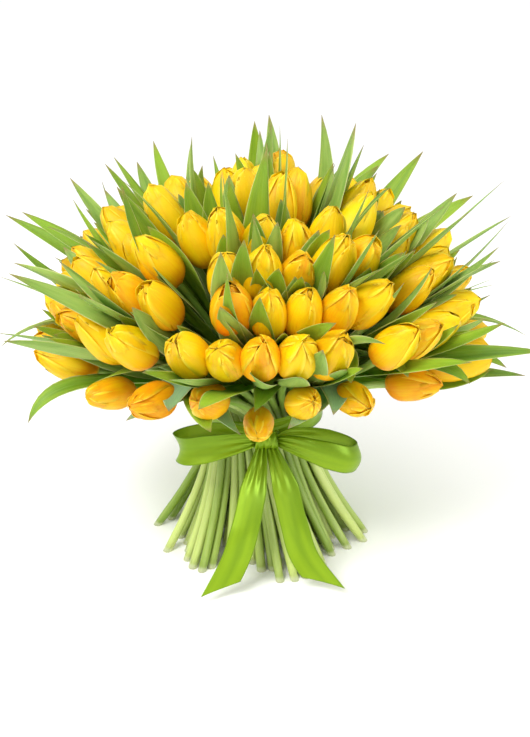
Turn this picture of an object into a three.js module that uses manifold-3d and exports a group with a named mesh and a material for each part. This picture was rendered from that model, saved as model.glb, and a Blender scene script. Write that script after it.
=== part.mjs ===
// A hand-tied spiral bunch of tulips that stands on its own cut stems.
// Millimetres, +Z up. The origin is the centre of the standing plane; the front, with the bow, faces -Y.
import * as THREE from "three";
import { mergeVertices } from "three/addons/utils/BufferGeometryUtils.js";
import Module from "manifold-3d";

const wasm = await Module();
wasm.setup();

// ---------- driving dimensions ----------
const NECK_HEIGHT = 140; // standing plane to the middle of the tie
const BASE_FLARE = 57; // how far the outermost stems spread outwards between neck and floor
const SPIRAL_BELOW = 20; // degrees that a stem turns about the axis from neck to floor
const SPIRAL_ABOVE = 27; // degrees that it turns from neck to head

const STEM_DIAMETER = 7.2;
const STEM_CLEARANCE = 0.5; // between one ring of stems and the next at the neck
const STEM_SQUEEZE = 0.8; // pitch of stems pressed side by side, as a share of their diameter
const STEM_TOP_GAP = 0.4; // stem top to the head on it
const STEM_BEND = 0.3; // a stem's run out of the neck before it bends, as a share of the way to its head
const LOW_STEM_BEND = 0.25; // the same for the stems of the low heads, which turn out at once
const TIE_PARTING = 0.4; // between the stems below the middle of the tie and those above it

const HEAD_WIDTH = 37;
const HEAD_LENGTH = 60;
const HEAD_SQUEEZE = 0.86; // pitch of heads pressed side by side, as a share of their width
const HEAD_STAGGER = 6; // heads stand higher and lower than the dome by up to this much
const PETAL_POINT = 4; // petal tips above and below the lip
const ARC_GAP = 27; // free width for a leaf between one arc of heads and the next in the fullest tier

const LEAF_THICKNESS = 1.4;
const LEAF_CHANNEL = 3.5; // how far the edges of a leaf are raised above its midrib

const RIBBON_WIDTH = 26;
const RIBBON_THICKNESS = 1.2;
const RIBBON_GATHER = 0.38; // width of the ribbon where it meets the knot, as a share of its full width
const TIE_THICKNESS = 1.6;
const TIE_WIDTH = 6;
const PRESSED_SIDES = 20; // facets round the stems where they are pressed together
const WRAP_CLEARANCE = 1.8; // stems to tie, and tie to ribbon band
const WRAP_FLARE = 0.31; // how far a rim of either stands out, as a share of its distance from the middle
const KNOT_SIZE = new THREE.Vector3(25, 18, 26);
const KNOT_CLEARANCE = 0.5;
const KNOT_SHIFT = 5; // the knot sits this far to the right of the front
const KNOT_SAG = 2; // and this far below the middle of the tie
const LOOP_LENGTH = 80;
const LOOP_DEPTH = 34;
const LEFT_TAIL_FOOT = new THREE.Vector3(-58, -147, 0);
const RIGHT_TAIL_FOOT = new THREE.Vector3(77, -134, 0);
const TAIL_POINT = 14; // how much longer one edge of a tail is than the other

// Tiers of heads down the dome: polar angle of the tier, arcs in it, heads to an arc, the sector
// that the arcs share and its middle, and how far the tier stands in from the dome.
const CROWN_HEADS = 6;
const TIERS = [
  { name: "top", polar: 24.5, arcs: 3, heads: 5, sector: 360, middle: 30, inset: 4, lift: 0.5 },
  { name: "upper", polar: 35.5, arcs: 4, heads: 5, sector: 360, middle: 60, inset: 2, lift: 1 },
  { name: "middle", polar: 46.5, arcs: 5, heads: 5, sector: 360, middle: -4, inset: 1, lift: 2 },
  { name: "wide", polar: 58, arcs: 6, heads: 5, sector: 360, middle: 0, inset: 4, lift: 3 },
  { name: "lower", polar: 71, arcs: 4, heads: 5, sector: 225, middle: 90.5, inset: 13, lift: 0 },
];
const FULLEST_TIER = 3;
const TIER_SCATTER = 0.4; // degrees that a head stands off its tier

// Single heads low at the front, left to right: azimuth, polar angle, distance from the neck, droop.
const LOW_HEADS = [
  { azimuth: -143, polar: 71, reach: 186, droop: 8 },
  { azimuth: -124, polar: 68, reach: 186, droop: 10 },
  { azimuth: -107, polar: 65, reach: 176, droop: 10 },
  { azimuth: -91, polar: 73, reach: 150, droop: 14 },
  { azimuth: -76, polar: 65, reach: 176, droop: 8 },
  { azimuth: -60, polar: 67, reach: 184, droop: 10 },
  { azimuth: -38, polar: 68, reach: 192, droop: 8 },
];
const LOW_STEM_BUNDLES = [4, 3]; // stems of the low heads that press together at the neck

// Leaves that stand out of the dome, each in the gap before an arc of its tier: the tier, the arc, where
// the tip is seen from the neck, how far it stands beyond the heads, and the width of the blade.
const LEAVES = [
  { tier: 0, arc: 0, tipAzimuth: -153, tipPolar: 29, beyond: 33, width: 20 },
  { tier: 0, arc: 1, tipAzimuth: -33, tipPolar: 29, beyond: 31, width: 24 },
  { tier: 0, arc: 2, tipAzimuth: 95, tipPolar: 16, beyond: 37, width: 24 },
  { tier: 1, arc: 1, tipAzimuth: -24, tipPolar: 38, beyond: 39, width: 28 },
  { tier: 1, arc: 2, tipAzimuth: 40, tipPolar: 36, beyond: 43, width: 30 },
  { tier: 1, arc: 3, tipAzimuth: 150, tipPolar: 36, beyond: 45, width: 30 },
  { tier: 2, arc: 0, tipAzimuth: 174, tipPolar: 50, beyond: 57, width: 32 },
  { tier: 2, arc: 3, tipAzimuth: 18, tipPolar: 48, beyond: 53, width: 32 },
  { tier: 2, arc: 4, tipAzimuth: 104, tipPolar: 50, beyond: 41, width: 30 },
  { tier: 3, arc: 0, tipAzimuth: 180, tipPolar: 76, beyond: 20, width: 30 },
  { tier: 3, arc: 3, tipAzimuth: -2, tipPolar: 73, beyond: 25, width: 27 },
  { tier: 3, arc: 4, tipAzimuth: 61, tipPolar: 66, beyond: 27, width: 25 },
  { tier: 3, arc: 5, tipAzimuth: 122, tipPolar: 66, beyond: 27, width: 28 },
  { tier: 4, arc: 2, tipAzimuth: 92, tipPolar: 76, beyond: 13, width: 25 },
  { tier: 4, arc: 4, tipAzimuth: -157, tipPolar: 84, beyond: -11, width: 24 },
];

// ---------- what follows from them ----------
const UP = new THREE.Vector3(0, 0, 1);
const NECK = new THREE.Vector3(0, 0, NECK_HEIGHT);
const STEM_RADIUS = STEM_DIAMETER / 2;
const STEM_PITCH = STEM_DIAMETER + STEM_CLEARANCE;
const HEAD_PITCH = HEAD_WIDTH * HEAD_SQUEEZE;
const radians = THREE.MathUtils.degToRad;

// The fullest tier sets the dome: its arcs of pressed heads and the gaps between them go once round.
const fullest = TIERS[FULLEST_TIER];
const fullestRound = fullest.arcs * ((fullest.heads - 1) * HEAD_PITCH + HEAD_WIDTH + ARC_GAP);
const DOME_RADIUS = fullestRound / (2 * Math.PI * Math.sin(radians(fullest.polar))) + fullest.inset;
const CROWN_POLAR = THREE.MathUtils.radToDeg(2 * Math.asin(HEAD_PITCH / (2 * DOME_RADIUS)));

// At the neck the stems lie in rings, one ring to a tier, each ring clear of the one inside it.
const ringRadii = [STEM_PITCH];
for (const tier of TIERS) {
  const count = tier.sector === 360 ? tier.arcs * tier.heads : 0;
  const clear = ringRadii.at(-1) + STEM_PITCH;
  ringRadii.push(Math.max(clear, (count * STEM_PITCH) / (2 * Math.PI)));
}
const sectorAzimuth = (tier, share) => tier.middle + tier.sector * (share - 0.5);
const NECK_RADIUS = ringRadii.at(-1) + STEM_RADIUS;
const FLARE_RATIO = 1 + BASE_FLARE / ringRadii.at(-1);

const petalYellow = new THREE.MeshStandardMaterial({ color: 0xffd21a, roughness: 0.45, metalness: 0 });
const stemGreen = new THREE.MeshStandardMaterial({ color: 0xa9c25a, roughness: 0.5, metalness: 0 });
const leafGreen = new THREE.MeshStandardMaterial({ color: 0x6ea038, roughness: 0.5, metalness: 0 });
const ribbonLime = new THREE.MeshStandardMaterial({ color: 0x8fc31a, roughness: 0.35, metalness: 0 });
const tieGreen = new THREE.MeshStandardMaterial({ color: 0x5d7a2e, roughness: 0.8, metalness: 0 });

const bunch = new THREE.Group();

function addPiece(name, geometry, material) {
  const mesh = new THREE.Mesh(geometry, material.clone());
  mesh.name = name;
  bunch.add(mesh);
}

// A closed geometry as a solid that can be joined and cut.
function solidOf(geometry) {
  const bare = geometry.clone();
  bare.deleteAttribute("normal");
  bare.deleteAttribute("uv");
  const merged = mergeVertices(bare, 1e-3);
  const vertProperties = new Float32Array(merged.attributes.position.array);
  const triVerts = new Uint32Array(merged.index.array);
  return new wasm.Manifold(new wasm.Mesh({ numProp: 3, vertProperties, triVerts }));
}

function geometryOf(solid) {
  const mesh = solid.getMesh();
  const geometry = new THREE.BufferGeometry();
  geometry.setAttribute("position", new THREE.BufferAttribute(new Float32Array(mesh.vertProperties), 3));
  geometry.setIndex(new THREE.BufferAttribute(new Uint32Array(mesh.triVerts), 1));
  geometry.computeVertexNormals();
  return geometry;
}

const joined = (geometries) => geometries.map(solidOf).reduce((whole, solid) => whole.add(solid));

function direction(azimuth, polar) {
  const upright = new THREE.Vector3(Math.sin(radians(polar)), 0, Math.cos(radians(polar)));
  return upright.applyAxisAngle(UP, radians(azimuth));
}

// An even scatter between -1 and 1 that is the same every time.
const scatter = (n) => 2 * ((n * 0.6180339887 + 0.25) % 1) - 1;

// ---------- tulips ----------
// Each tulip is a head on its own stem. Its ring is its place at the neck, and its bundle the stems that
// it presses on.
const tulips = [];

function addTulip(head, bundle, ring, neckAzimuth, azimuth, polar, reach, droop, bend = STEM_BEND) {
  const axis = direction(azimuth, polar + droop);
  const centre = direction(azimuth, polar).multiplyScalar(reach).add(NECK);
  const base = centre.clone().addScaledVector(axis, -HEAD_LENGTH / 2);
  tulips.push({ head, bundle, ringRadius: ring < 0 ? 0 : ringRadii[ring], neckAzimuth, axis, base, bend });
}

addTulip("heads_crown", "stems_inner", -1, 0, 0, 0, DOME_RADIUS, 0);
for (let i = 0; i < CROWN_HEADS; i++) {
  const azimuth = (360 * i) / CROWN_HEADS;
  const reach = DOME_RADIUS + HEAD_STAGGER * scatter(i);
  addTulip("heads_crown", "stems_inner", 0, azimuth + SPIRAL_ABOVE, azimuth, CROWN_POLAR, reach, 0);
}

TIERS.forEach((tier, t) => {
  const reach = DOME_RADIUS - tier.inset;
  const outermost = t === TIERS.length - 1;
  const pitch = THREE.MathUtils.radToDeg(HEAD_PITCH / (reach * Math.sin(radians(tier.polar))));
  const stemPitch = THREE.MathUtils.radToDeg((STEM_DIAMETER * STEM_SQUEEZE) / ringRadii[t + 1]);
  for (let arc = 0; arc < tier.arcs; arc++) {
    const arcAzimuth = sectorAzimuth(tier, (arc + 0.5) / tier.arcs);
    for (let i = 0; i < tier.heads; i++) {
      const place = i - (tier.heads - 1) / 2;
      const azimuth = arcAzimuth + place * pitch;
      const front = Math.max(0, -Math.sin(radians(azimuth)));
      const n = 11 * t + tier.heads * arc + i;
      const polar = tier.polar - tier.lift * front + TIER_SCATTER * scatter(3 * n);
      const neckAzimuth = SPIRAL_ABOVE + (outermost ? arcAzimuth + place * stemPitch : azimuth);
      const bundle = outermost ? "stems_outer_" + (arc + 1) : "stems_inner";
      const stand = reach + HEAD_STAGGER * scatter(n);
      addTulip("heads_" + tier.name + "_" + (arc + 1), bundle, t + 1, neckAzimuth, azimuth, polar, stand, 3);
    }
  }
});

let firstLow = 0;
LOW_STEM_BUNDLES.forEach((size, b) => {
  const low = LOW_HEADS.slice(firstLow, firstLow + size);
  const middle = low.reduce((sum, head) => sum + head.azimuth, 0) / size + SPIRAL_ABOVE;
  const stemPitch = THREE.MathUtils.radToDeg((STEM_DIAMETER * STEM_SQUEEZE) / ringRadii.at(-1));
  low.forEach((head, i) => {
    const neckAzimuth = middle + (i - (size - 1) / 2) * stemPitch;
    const name = "head_low_" + (firstLow + i + 1);
    const bundle = "stems_front_" + (b + 1);
    const ring = ringRadii.length - 1;
    const { azimuth, polar, reach, droop } = head;
    addTulip(name, bundle, ring, neckAzimuth, azimuth, polar, reach, droop, LOW_STEM_BEND);
  });
  firstLow += size;
});

// A head: a six-sided bud turned about its axis, its lip rising to three petal tips and falling between them.
function headGeometry(tulip) {
  const profile = [
    [0, 0],
    [0.56, 0.06],
    [1, 0.36],
    [0.88, 0.72],
    [0.54, 0.94],
    [0, 0.9],
  ].map(([r, h]) => new THREE.Vector2((r * HEAD_WIDTH) / 2, h * HEAD_LENGTH));
  const sides = 6;
  const lip = profile.length - 2;
  const geometry = new THREE.LatheGeometry(profile, sides);
  const position = geometry.attributes.position;
  for (let side = 0; side <= sides; side++) {
    const i = side * profile.length + lip;
    position.setY(i, position.getY(i) + PETAL_POINT * Math.cos(Math.PI * side));
  }
  // The lathe turns about Y with its first corner towards +Z. That goes along the tier, so that the corners
  // of neighbours meet.
  const across = new THREE.Vector3().crossVectors(UP, tulip.axis);
  if (across.length() < 1e-6) across.set(0, 1, 0);
  across.normalize();
  const third = new THREE.Vector3().crossVectors(tulip.axis, across);
  geometry.applyMatrix4(new THREE.Matrix4().makeBasis(third, tulip.axis, across));
  geometry.translate(tulip.base.x, tulip.base.y, tulip.base.z);
  return geometry;
}

// A stem's line above the neck: it leaves the tie leaning along the spiral and meets the head on its axis.
function upperLine(ringRadius, neckAzimuth, end, axis, bend) {
  const start = new THREE.Vector3(ringRadius, 0, 0).applyAxisAngle(UP, radians(neckAzimuth)).add(NECK);
  const lean = (ringRadius * radians(SPIRAL_BELOW)) / (NECK_HEIGHT / 3);
  const along = new THREE.Vector3(0, -lean, 1).normalize().applyAxisAngle(UP, radians(neckAzimuth));
  const handle = start.distanceTo(end) * bend;
  const leaving = start.clone().addScaledVector(along, handle);
  const arriving = end.clone().addScaledVector(axis, -handle);
  return new THREE.CubicBezierCurve3(start, leaving, arriving, end);
}

// Below the neck the same stem leans the same way and curves outwards to its cut end.
function lowerLine(ringRadius, neckAzimuth) {
  const foot = new THREE.Vector3(ringRadius * FLARE_RATIO, 0, 0);
  foot.applyAxisAngle(UP, radians(neckAzimuth + SPIRAL_BELOW));
  const start = new THREE.Vector3(ringRadius, 0, NECK_HEIGHT).applyAxisAngle(UP, radians(neckAzimuth));
  const bend = new THREE.Vector3(ringRadius, (ringRadius * radians(SPIRAL_BELOW)) / 2, NECK_HEIGHT / 2 + 14);
  bend.applyAxisAngle(UP, radians(neckAzimuth));
  return new THREE.QuadraticBezierCurve3(foot, bend, start);
}

// A rod bent to its line: each row of corners has a centre on the line and a direction that it faces.
function rodGeometry(rows, sides, neckAzimuth) {
  const rod = new THREE.CylinderGeometry(STEM_RADIUS, STEM_RADIUS, 1, sides, rows.length - 1);
  const position = rod.attributes.position;
  const point = new THREE.Vector3();
  for (let i = 0; i < position.count; i++) {
    const row = rows[Math.round((position.getY(i) + 0.5) * (rows.length - 1))];
    const side = new THREE.Vector3(0, 1, 0).applyAxisAngle(UP, radians(neckAzimuth));
    side.addScaledVector(row.ahead, -side.dot(row.ahead)).normalize();
    const outward = new THREE.Vector3().crossVectors(side, row.ahead);
    point.copy(row.centre).addScaledVector(side, position.getX(i));
    point.addScaledVector(outward, position.getZ(i));
    position.setXYZ(i, point.x, point.y, point.z);
  }
  return rod;
}

// A stem parts in two at the middle of the tie. It is cut level there, and at its foot.
const ROWS_BELOW = [0, 0.5, 1];
const OUTER_STEM = { sides: 6, rows: [0, 0.3, 0.62, 1] };
const INNER_STEM = { sides: 5, rows: [0, 0.3, 1] };

function lowerStem(tulip) {
  const line = lowerLine(tulip.ringRadius, tulip.neckAzimuth);
  const rows = ROWS_BELOW.map((t) => ({ centre: line.getPoint(t), ahead: line.getTangent(t) }));
  rows[0].ahead = UP;
  rows.at(-1).ahead = UP;
  rows.at(-1).centre.z -= TIE_PARTING / 2;
  return rodGeometry(rows, INNER_STEM.sides, tulip.neckAzimuth);
}

function upperStem(tulip, stem) {
  const end = tulip.base.clone().addScaledVector(tulip.axis, -STEM_TOP_GAP);
  const line = upperLine(tulip.ringRadius, tulip.neckAzimuth, end, tulip.axis, tulip.bend);
  const rows = stem.rows.map((t) => ({ centre: line.getPoint(t), ahead: line.getTangent(t) }));
  rows[0].ahead = UP;
  rows[0].centre.z += TIE_PARTING / 2;
  return rodGeometry(rows, stem.sides, tulip.neckAzimuth);
}

// Where they are tied the stems are pressed into one, as far out as a ring of them.
function pressedGeometry(radius, upwards) {
  const height = (TIE_WIDTH - TIE_PARTING) / 2;
  const pressed = new THREE.CylinderGeometry(radius, radius, height, PRESSED_SIDES);
  pressed.rotateX(Math.PI / 2);
  pressed.translate(0, 0, NECK_HEIGHT + upwards * (TIE_PARTING + height) / 2);
  return pressed;
}

const headNames = [...new Set(tulips.map((tulip) => tulip.head))];
for (const name of headNames) {
  const heads = tulips.filter((tulip) => tulip.head === name);
  addPiece(name, geometryOf(joined(heads.map(headGeometry))), petalYellow);
}

const lowerStems = [...tulips.map(lowerStem), pressedGeometry(ringRadii.at(-1), -1)];
addPiece("stems_below", geometryOf(joined(lowerStems)), stemGreen);

const bundleNames = [...new Set(tulips.map((tulip) => tulip.bundle))];
for (const name of bundleNames) {
  const inner = name === "stems_inner";
  const stems = tulips.filter((tulip) => tulip.bundle === name);
  const rods = stems.map((tulip) => upperStem(tulip, inner ? INNER_STEM : OUTER_STEM));
  if (inner) rods.push(pressedGeometry(ringRadii.at(-2), 1));
  addPiece(name, geometryOf(joined(rods)), stemGreen);
}

// ---------- leaves ----------
// A leaf runs out along the line that a stem of its tier would take in the gap, then past the heads.
function leafGeometry(leaf) {
  const tier = TIERS[leaf.tier];
  const azimuth = sectorAzimuth(tier, leaf.arc / tier.arcs);
  const reach = DOME_RADIUS - tier.inset;
  const axis = direction(azimuth, tier.polar);
  const inShell = axis.clone().multiplyScalar(reach - HEAD_LENGTH / 2).add(NECK);
  const outOfShell = axis.clone().multiplyScalar(reach + HEAD_LENGTH / 3).add(NECK);
  const tipReach = DOME_RADIUS + HEAD_LENGTH / 2 + leaf.beyond;
  const tip = direction(leaf.tipAzimuth, leaf.tipPolar).multiplyScalar(tipReach).add(NECK);
  const start = upperLine(ringRadii[leaf.tier + 1], azimuth + SPIRAL_ABOVE, inShell, axis, STEM_BEND);
  const points = [start.getPoint(0.5), start.getPoint(0.75), inShell, outOfShell, tip];
  const midrib = new THREE.CatmullRomCurve3(points, false, "centripetal");

  const blade = new THREE.BoxGeometry(1, LEAF_THICKNESS, 1, 2, 1, 7);
  const position = blade.attributes.position;
  const point = new THREE.Vector3();
  for (let i = 0; i < position.count; i++) {
    const along = position.getZ(i) + 0.5;
    const across = 2 * position.getX(i);
    const outline = leafOutline(along);
    const centre = midrib.getPoint(along);
    const ahead = midrib.getTangent(along);
    const side = new THREE.Vector3(-centre.y, centre.x, 0).normalize();
    side.addScaledVector(ahead, -side.dot(ahead)).normalize();
    const face = new THREE.Vector3().crossVectors(ahead, side);
    point.copy(centre).addScaledVector(side, (across * outline * leaf.width) / 2);
    point.addScaledVector(face, position.getY(i) + LEAF_CHANNEL * across * across * outline);
    position.setXYZ(i, point.x, point.y, point.z);
  }
  return blade;
}

// Half width of a blade along its length, as a share of the widest: it widens from its foot, keeps its
// width to past the middle, then narrows on a curve to a blunt tip.
function leafOutline(along) {
  const widening = 0.3 + 0.7 * Math.sin((Math.PI / 2) * Math.min(1, along * 1.3));
  const narrowing = Math.max(0, (along - 0.45) / 0.55);
  return widening * (1 - 0.93 * narrowing ** 2.2);
}

LEAVES.forEach((leaf, i) => addPiece("leaf_" + (i + 1), leafGeometry(leaf), leafGreen));

// ---------- tie and ribbon ----------
// A collar round the neck: a thin wall turned about the axis, flaring to both rims as the stems spread.
function collarGeometry(innerRadius, thickness, width, flare) {
  const inside = [];
  const outside = [];
  const rows = 2;
  for (let row = 0; row <= rows; row++) {
    const h = (2 * row) / rows - 1;
    const radius = innerRadius + flare * h * h;
    inside.push(new THREE.Vector2(radius, (h * width) / 2));
    outside.unshift(new THREE.Vector2(radius + thickness, (h * width) / 2));
  }
  const wall = [...inside, ...outside, inside[0]].reverse();
  const collar = new THREE.LatheGeometry(wall, 24);
  collar.rotateX(Math.PI / 2);
  collar.translate(0, 0, NECK_HEIGHT);
  return collar;
}

const tieRadius = NECK_RADIUS + WRAP_CLEARANCE;
const tieFlare = (WRAP_FLARE * TIE_WIDTH) / 2;
const bandRadius = tieRadius + tieFlare + TIE_THICKNESS + WRAP_CLEARANCE;
const bandFlare = (WRAP_FLARE * RIBBON_WIDTH) / 2;
addPiece("tie", collarGeometry(tieRadius, TIE_THICKNESS, TIE_WIDTH, tieFlare), tieGreen);
addPiece("ribbon_band", collarGeometry(bandRadius, RIBBON_THICKNESS, RIBBON_WIDTH, bandFlare), ribbonLime);

const bandFront = bandRadius + RIBBON_THICKNESS + bandFlare;
const knotForward = bandFront + KNOT_CLEARANCE + KNOT_SIZE.y / 2;
const knotCentre = new THREE.Vector3(KNOT_SHIFT, -knotForward, NECK_HEIGHT - KNOT_SAG);
const knot = new THREE.SphereGeometry(0.5, 12, 8);
knot.scale(KNOT_SIZE.x, KNOT_SIZE.y, KNOT_SIZE.z);
knot.translate(knotCentre.x, knotCentre.y, knotCentre.z);
addPiece("ribbon_knot", knot, ribbonLime);

// Ribbon laid along a curve. Its width stands on the widthways direction, and it is gathered narrow where
// share is small.
function ribbonGeometry(curve, steps, widthways, share, endPoint) {
  const strip = new THREE.BoxGeometry(RIBBON_WIDTH, RIBBON_THICKNESS, 1, 2, 1, steps);
  const position = strip.attributes.position;
  const point = new THREE.Vector3();
  for (let i = 0; i < position.count; i++) {
    const along = position.getZ(i) + 0.5;
    const edge = position.getX(i);
    const cut = (endPoint * edge) / RIBBON_WIDTH / curve.getLength();
    const t = Math.min(1, Math.max(0, along * (1 + cut) - Math.abs(cut / 2) * along));
    const ahead = curve.getTangent(t);
    const side = widthways.clone().addScaledVector(ahead, -widthways.dot(ahead)).normalize();
    const face = new THREE.Vector3().crossVectors(ahead, side);
    point.copy(curve.getPoint(t)).addScaledVector(side, edge * share(along));
    point.addScaledVector(face, position.getY(i));
    position.setXYZ(i, point.x, point.y, point.z);
  }
  return strip;
}

// A loop leaves the knot, turns back on itself and comes home behind where it left.
function loopGeometry(side) {
  const root = knotCentre.clone();
  root.x += side * (KNOT_SIZE.x / 2 + KNOT_CLEARANCE + RIBBON_THICKNESS);
  const at = (out, forward, rise) => new THREE.Vector3(side * out, -forward, rise).add(root);
  const points = [
    at(0, 3, 0),
    at(LOOP_LENGTH * 0.45, LOOP_DEPTH * 0.42, 1),
    at(LOOP_LENGTH * 0.86, LOOP_DEPTH * 0.4, -2),
    at(LOOP_LENGTH - 8, 4, -4),
    at(LOOP_LENGTH * 0.8, -LOOP_DEPTH * 0.16, -3),
    at(LOOP_LENGTH * 0.4, -4, 0),
    at(0, -3, 0),
  ];
  const curve = new THREE.CatmullRomCurve3(points, false, "centripetal");
  const share = (along) => RIBBON_GATHER + (1 - RIBBON_GATHER) * Math.sin(Math.PI * along) ** 0.7;
  return ribbonGeometry(curve, 16, UP, share, 0);
}

addPiece("ribbon_loop_left", loopGeometry(-1), ribbonLime);
addPiece("ribbon_loop_right", loopGeometry(1), ribbonLime);

// A tail leaves the bottom of the knot, hangs outside the stems and comes down on its cut end.
function tailGeometry(foot, side) {
  const root = knotCentre.clone();
  root.x += side * ((RIBBON_GATHER * RIBBON_WIDTH) / 2 + KNOT_CLEARANCE);
  root.z -= KNOT_SIZE.z / 2 + KNOT_CLEARANCE + RIBBON_THICKNESS;
  const end = foot.clone();
  end.z += RIBBON_THICKNESS;
  const middle = root.clone().lerp(end, 0.45);
  middle.y -= 3;
  const lowerDown = root.clone().lerp(end, 0.8);
  lowerDown.y += 4;
  const curve = new THREE.CatmullRomCurve3([root, middle, lowerDown, end], false, "centripetal");
  const widthways = new THREE.Vector3(1, 0.12 * side, 0);
  const share = (along) => RIBBON_GATHER + (1 - RIBBON_GATHER) * Math.min(1, along / 0.3);
  return ribbonGeometry(curve, 12, widthways, share, side * TAIL_POINT);
}

addPiece("ribbon_tail_left", tailGeometry(LEFT_TAIL_FOOT, -1), ribbonLime);
addPiece("ribbon_tail_right", tailGeometry(RIGHT_TAIL_FOOT, 1), ribbonLime);

export default bunch;
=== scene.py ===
import bpy
import numpy as np
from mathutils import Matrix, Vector


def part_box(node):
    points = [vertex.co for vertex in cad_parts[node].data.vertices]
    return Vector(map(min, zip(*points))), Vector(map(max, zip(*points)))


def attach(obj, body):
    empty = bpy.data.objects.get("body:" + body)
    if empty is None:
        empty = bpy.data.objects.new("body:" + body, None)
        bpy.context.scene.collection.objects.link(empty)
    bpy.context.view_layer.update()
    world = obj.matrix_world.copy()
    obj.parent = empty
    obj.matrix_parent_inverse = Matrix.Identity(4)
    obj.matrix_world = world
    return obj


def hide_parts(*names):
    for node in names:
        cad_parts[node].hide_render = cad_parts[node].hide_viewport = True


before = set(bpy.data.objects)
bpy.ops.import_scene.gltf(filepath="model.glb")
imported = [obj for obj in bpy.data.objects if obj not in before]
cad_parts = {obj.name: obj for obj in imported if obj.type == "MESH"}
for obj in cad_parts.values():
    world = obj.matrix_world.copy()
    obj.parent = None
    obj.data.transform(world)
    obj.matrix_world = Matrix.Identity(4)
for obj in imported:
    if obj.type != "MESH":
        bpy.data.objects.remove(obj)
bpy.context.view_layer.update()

chance = np.random.default_rng(31)

# ---------- how the bunch is laid out ----------
# A hand-tied spiral bunch: every tulip leans the same way round, crosses the others at the tied neck,
# and holds its head on a dome that is measured from the middle of the tie.
MM = 0.001
tie_low, tie_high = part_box("tie")
neck = np.array([0.0, 0.0, (tie_low[2] + tie_high[2]) / 2])
stem_radius, stem_pitch, stem_squeeze = 3.6 * MM, 7.7 * MM, 0.8
head_length, head_width, head_squeeze = 60 * MM, 37 * MM, 0.86
head_pitch = head_width * head_squeeze
head_stagger, arc_gap = 6 * MM, 27 * MM
spiral_above = 27
stem_bend, low_stem_bend = 0.3, 0.25

# Each tier: name, polar angle, arcs, heads in an arc, sector and its middle, inset and lift.
tiers = (
    ("top", 24.5, 3, 5, 360, 30, 4, 0.5),
    ("upper", 35.5, 4, 5, 360, 60, 2, 1),
    ("middle", 46.5, 5, 5, 360, -4, 1, 2),
    ("wide", 58, 6, 5, 360, 0, 4, 3),
    ("lower", 71, 4, 5, 225, 90.5, 13, 0),
)
# The low heads at the front: azimuth, polar angle, reach from the neck, and droop.
low_heads = (
    (-143, 71, 186, 8),
    (-124, 68, 186, 10),
    (-107, 65, 176, 10),
    (-91, 73, 150, 14),
    (-76, 65, 176, 8),
    (-60, 67, 184, 10),
    (-38, 68, 192, 8),
)
low_bundles = (4, 3)
_, wide_polar, wide_arcs, wide_heads, _, _, wide_inset, _ = tiers[3]
full_round = wide_arcs * ((wide_heads - 1) * head_pitch + head_width + arc_gap)
dome = full_round / (2 * np.pi * np.sin(np.radians(wide_polar))) + wide_inset * MM
crown_polar = np.degrees(2 * np.arcsin(head_pitch / (2 * dome)))

# The stems cross the neck in rings, one to a tier, each wide enough for its stems side by side.
rings = [stem_pitch]
for _, _, arcs, heads, sector, *_ in tiers:
    in_ring = arcs * heads if sector == 360 else 0
    rings.append(max(rings[-1] + stem_pitch, in_ring * stem_pitch / (2 * np.pi)))


def direction(azimuth, polar):
    """Unit vector at an azimuth about +Z and a polar angle from +Z, both in degrees."""
    a, p = np.radians(azimuth), np.radians(polar)
    return np.stack([np.sin(p) * np.cos(a), np.sin(p) * np.sin(a), np.cos(p) + 0 * a], -1)


def unit(vectors):
    """Each vector divided by its own length."""
    return vectors / np.maximum(np.linalg.norm(vectors, axis=-1, keepdims=True), 1e-12)


def scatter(n):
    """Golden-section steps folded into the range from -1 to 1, the same every time."""
    return 2 * ((n * 0.6180339887 + 0.25) % 1) - 1


# Each tulip: head node, stem node, ring and azimuth at the neck, azimuth and polar angle of the head, its
# reach from the neck, droop and bend.
tulips = [("heads_crown", "stems_inner", 0.0, 0.0, 0.0, 0.0, dome, 0.0, stem_bend)]
for i in range(6):
    reach = dome + head_stagger * scatter(i)
    place = rings[0], 60 * i + spiral_above, 60 * i, crown_polar, reach, 0, stem_bend
    tulips.append(("heads_crown", "stems_inner", *place))
for t, (name, polar, arcs, heads, sector, middle, inset, lift) in enumerate(tiers):
    reach, outermost = dome - inset * MM, t == len(tiers) - 1
    pitch = np.degrees(head_pitch / (reach * np.sin(np.radians(polar))))
    squeeze = np.degrees(stem_squeeze * 2 * stem_radius / rings[t + 1])
    for arc in range(arcs):
        arc_azimuth = middle + sector * ((arc + 0.5) / arcs - 0.5)
        bundle = f"stems_outer_{arc + 1}" if outermost else "stems_inner"
        for i in range(heads):
            place = i - (heads - 1) / 2
            azimuth = arc_azimuth + place * pitch
            n = 11 * t + heads * arc + i
            tilt = polar - lift * max(0, -np.sin(np.radians(azimuth))) + 0.4 * scatter(3 * n)
            at_neck = spiral_above + (arc_azimuth + place * squeeze if outermost else azimuth)
            stand = reach + head_stagger * scatter(n)
            place = rings[t + 1], at_neck, azimuth, tilt, stand, 3, stem_bend
            tulips.append((f"heads_{name}_{arc + 1}", bundle, *place))
squeeze = np.degrees(stem_squeeze * 2 * stem_radius / rings[-1])
first = 0
for b, size in enumerate(low_bundles):
    low = low_heads[first : first + size]
    middle = sum(head[0] for head in low) / size + spiral_above
    for i, (azimuth, polar, reach, droop) in enumerate(low):
        at_neck = middle + (i - (size - 1) / 2) * squeeze
        place = rings[-1], at_neck, azimuth, polar, reach * MM, droop, low_stem_bend
        tulips.append((f"head_low_{first + i + 1}", f"stems_front_{b + 1}", *place))
    first += size

head_nodes = np.array([tulip[0] for tulip in tulips])
stem_nodes = np.array([tulip[1] for tulip in tulips])
ring, at_neck, azimuth, polar, reach, droop, bend = np.array([tulip[2:] for tulip in tulips], float).T
count = len(tulips)
axis = direction(azimuth, polar + droop)
centre = neck + reach[:, None] * direction(azimuth, polar)


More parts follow.
